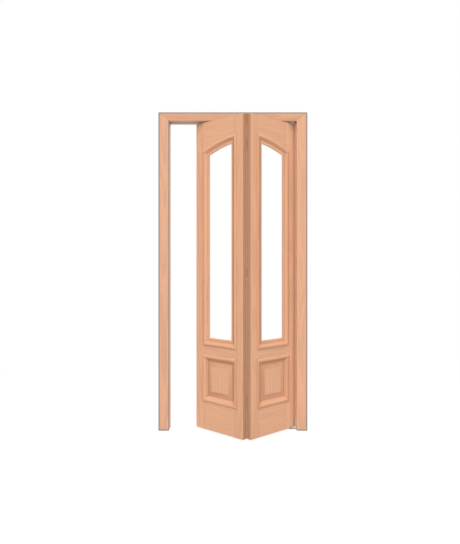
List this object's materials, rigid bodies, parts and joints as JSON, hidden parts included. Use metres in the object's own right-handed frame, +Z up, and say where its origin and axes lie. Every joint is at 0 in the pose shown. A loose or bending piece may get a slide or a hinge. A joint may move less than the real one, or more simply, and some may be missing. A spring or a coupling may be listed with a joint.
{
  "type": "bifold door",
  "caption": "Timber bifold door in its frame, partly folded forward: arched glazed lights over fielded panels with bolection mouldings, pivoted at one jamb and guided in a head track.",
  "frame": {"origin": "middle of the clear opening on the floor line, under the centre line of the guide track", "axes": "+X along the opening towards the pivot jamb (the viewer's right), +Y from the front to the back of the frame, +Z up"},
  "size_m": [0.9916, 0.3179, 2.118],
  "materials": {
    "leaf_timber": "clear satin lacquer on pine",
    "frame_timber": "clear satin lacquer on pine",
    "glass": "clear float glass",
    "aluminium": "satin anodised",
    "steel": "zinc plated",
    "brass": "satin",
    "nylon": "natural nylon"
  },
  "bodies": {
    "frame": {"left_jamb": "frame_timber", "right_jamb": "frame_timber", "head_jamb": "frame_timber", "top_track": "aluminium", "top_pivot_bracket": "steel", "bottom_pivot_bracket": "steel"},
    "pivot_leaf": {"pivot_leaf_outer_stile": "leaf_timber", "pivot_leaf_meeting_stile": "leaf_timber", "pivot_leaf_top_rail": "leaf_timber", "pivot_leaf_lock_rail": "leaf_timber", "pivot_leaf_bottom_rail": "leaf_timber", "pivot_leaf_panel": "leaf_timber", "pivot_leaf_glass": "glass", "pivot_leaf_glazing_moulding_outer": "leaf_timber", "pivot_leaf_glazing_moulding_fold": "leaf_timber", "pivot_leaf_glazing_moulding_bottom": "leaf_timber", "pivot_leaf_glazing_moulding_arch": "leaf_timber", "pivot_leaf_panel_moulding_outer": "leaf_timber", "pivot_leaf_panel_moulding_fold": "leaf_timber", "pivot_leaf_panel_moulding_bottom": "leaf_timber", "pivot_leaf_panel_moulding_top": "leaf_timber", "top_hinge_pivot_plate": "brass", "middle_hinge_pivot_plate": "brass", "bottom_hinge_pivot_plate": "brass", "top_hinge_pin": "brass", "middle_hinge_pin": "brass", "bottom_hinge_pin": "brass", "bottom_pivot_bush": "nylon", "bottom_pivot_pin": "steel", "top_pivot_sleeve": "nylon", "top_pivot_spring": "steel"},
    "guide_leaf": {"guide_leaf_outer_stile": "leaf_timber", "guide_leaf_meeting_stile": "leaf_timber", "guide_leaf_top_rail": "leaf_timber", "guide_leaf_lock_rail": "leaf_timber", "guide_leaf_bottom_rail": "leaf_timber", "guide_leaf_panel": "leaf_timber", "guide_leaf_glass": "glass", "guide_leaf_glazing_moulding_outer": "leaf_timber", "guide_leaf_glazing_moulding_fold": "leaf_timber", "guide_leaf_glazing_moulding_bottom": "leaf_timber", "guide_leaf_glazing_moulding_arch": "leaf_timber", "guide_leaf_panel_moulding_outer": "leaf_timber", "guide_leaf_panel_moulding_fold": "leaf_timber", "guide_leaf_panel_moulding_bottom": "leaf_timber", "guide_leaf_panel_moulding_top": "leaf_timber", "top_hinge_guide_plate": "brass", "middle_hinge_guide_plate": "brass", "bottom_hinge_guide_plate": "brass", "guide_sleeve": "nylon", "guide_spring": "steel"},
    "top_pivot_pin": {"top_pivot_pin": "steel"},
    "guide_pin": {"guide_pin": "steel"},
    "guide_roller": {"guide_roller": "nylon"}
  },
  "joints": [
    {"name": "leaf_pivot", "type": "hinge", "parent": "frame", "child": "pivot_leaf", "pos_m": [0.3803, 0, 0], "axis": [0, 0, 1], "range_deg": [-42.3, 44.7]},
    {"name": "leaf_hinge", "type": "hinge", "parent": "pivot_leaf", "child": "guide_leaf", "pos_m": [0.08711, -0.24285, 1], "axis": [0, 0, 1], "range_deg": [-89.4, 84.6]},
    {"name": "top_pin_slide", "type": "slide", "parent": "pivot_leaf", "child": "top_pivot_pin", "axis": [0, 0, 1], "range_m": [-0.0135, 0], "stiffness_N_per_m": 700, "springref_m": 0.012, "deforming": ["top_pivot_spring"]},
    {"name": "guide_pin_slide", "type": "slide", "parent": "guide_leaf", "child": "guide_pin", "axis": [0, 0, 1], "range_m": [-0.0104, 0], "stiffness_N_per_m": 700, "springref_m": 0.012, "deforming": ["guide_spring"]},
    {"name": "roller_spin", "type": "hinge", "parent": "guide_pin", "child": "guide_roller", "pos_m": [-0.20609, 0, 2.063], "axis": [0, 0, 1], "continuous": true}
  ],
  "couplings": [
    {"joint": "leaf_hinge", "follows": "leaf_pivot", "ratio": -2}
  ]
}
